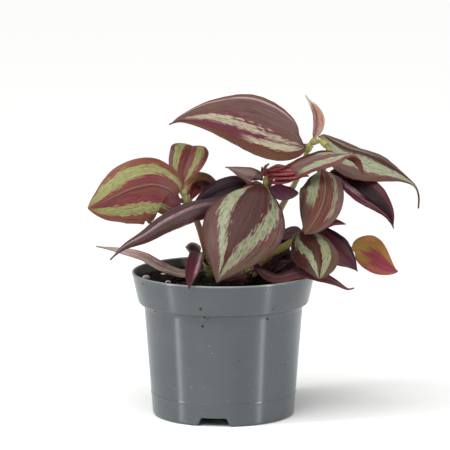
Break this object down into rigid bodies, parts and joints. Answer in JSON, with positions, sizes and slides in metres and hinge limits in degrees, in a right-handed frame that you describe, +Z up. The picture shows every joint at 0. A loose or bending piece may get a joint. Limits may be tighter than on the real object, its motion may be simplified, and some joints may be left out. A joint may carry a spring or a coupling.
{
  "type": "potted plant",
  "caption": "Young striped inch plant with purple, brown and silver-green leaves on jointed stems, grown from cuttings in a round grey nursery pot filled with dark potting mix.",
  "frame": {"origin": "middle of the bounding box in X and Y, on the plane that the pot stands on", "axes": "+Z up, -Y towards the side that shows best, +X to the right as seen from there"},
  "size_m": [0.1608, 0.0918, 0.1585],
  "materials": {
    "pot": "satin",
    "soil": "matt, damp, crumbly",
    "perlite": "matt",
    "stem": "satin",
    "leaf": "soft sheen, striped in silver green over purple brown"
  },
  "bodies": {
    "root": {"leaf_back_low": "leaf", "leaf_base_curled": "leaf", "leaf_base_front": "leaf", "leaf_base_upright": "leaf", "leaf_centre_small": "leaf", "leaf_centre_tip": "leaf", "leaf_dark_left": "leaf", "leaf_dark_low": "leaf", "leaf_dark_right": "leaf", "leaf_far_right": "leaf", "leaf_front_large": "leaf", "leaf_front_right": "leaf", "leaf_left_back": "leaf", "leaf_left_broad": "leaf", "leaf_left_long": "leaf", "leaf_left_narrow": "leaf", "leaf_left_upright": "leaf", "leaf_over_rim": "leaf", "leaf_right_drooping": "leaf", "leaf_right_hanging": "leaf", "leaf_right_small": "leaf", "leaf_top_large": "leaf", "leaf_top_right_long": "leaf", "leaf_top_upright": "leaf", "leaf_twisted": "leaf", "perlite_1": "perlite", "perlite_2": "perlite", "perlite_3": "perlite", "perlite_4": "perlite", "pot": "pot", "soil": "soil", "stem_centre": "stem", "stem_front": "stem", "stem_left": "stem", "stem_low": "stem", "stem_right": "stem", "stem_tall": "stem"}
  },
  "joints": []
}
